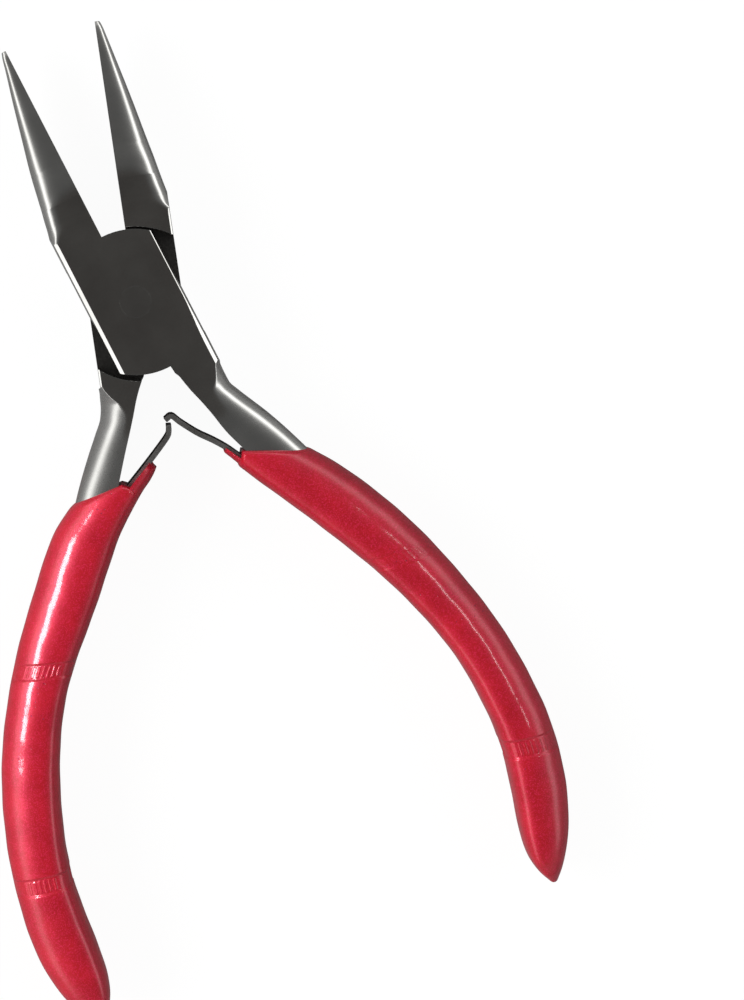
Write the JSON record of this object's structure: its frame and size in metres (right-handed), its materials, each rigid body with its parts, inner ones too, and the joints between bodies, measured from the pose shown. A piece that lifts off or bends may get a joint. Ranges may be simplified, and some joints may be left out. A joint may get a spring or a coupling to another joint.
{
  "type": "jewellery pliers",
  "caption": "Slip-through box-joint pliers with slim tapered half-round jaws, a double leaf spring and dipped red grips.",
  "frame": {"origin": "on the pivot axis at the lower flat of the box, with the tool lying flat", "axes": "+Z along the pivot rivet, up through the upper flat; +Y towards the jaw tips, midway between the open jaws; +X to the right handle"},
  "size_m": [0.074, 0.1256, 0.0088],
  "materials": {
    "forged_steel": "ground and lightly polished, fine grinding lines",
    "spring_steel": "blued spring strip, dull",
    "red_vinyl": "glossy pearlescent red dip-moulded vinyl"
  },
  "bodies": {
    "box_half": {"box_lever": "forged_steel", "pivot_rivet": "forged_steel", "right_spring_tail": "spring_steel", "right_spring_rivet": "forged_steel", "right_grip": "red_vinyl"},
    "tongue_half": {"tongue_lever": "forged_steel", "left_spring_tail": "spring_steel", "left_spring_rivet": "forged_steel", "left_grip": "red_vinyl"},
    "right_spring": {"right_spring_blade": "spring_steel", "right_grip_web": "red_vinyl"},
    "left_spring": {"left_spring_blade": "spring_steel", "left_grip_web": "red_vinyl"}
  },
  "joints": [
    {"name": "pivot", "type": "hinge", "parent": "box_half", "child": "tongue_half", "pos_m": [0, 0, 0.0044], "axis": [0, 0, 1], "range_deg": [-6, 18.6], "stiffness_Nm_per_rad": 0.6},
    {"name": "right_spring_flex", "type": "hinge", "parent": "box_half", "child": "right_spring", "pos_m": [0.00675, -0.02339, 0.0044], "axis": [0, 0, 1], "range_deg": [-19, 6.5]},
    {"name": "left_spring_flex", "type": "hinge", "parent": "tongue_half", "child": "left_spring", "pos_m": [-0.00802, -0.02268, 0.0044], "axis": [0, 0, 1], "range_deg": [-6.2, 18.2]}
  ],
  "couplings": [
    {"joint": "right_spring_flex", "follows": "pivot", "ratio": -1},
    {"joint": "left_spring_flex", "follows": "pivot", "ratio": 0.95}
  ]
}
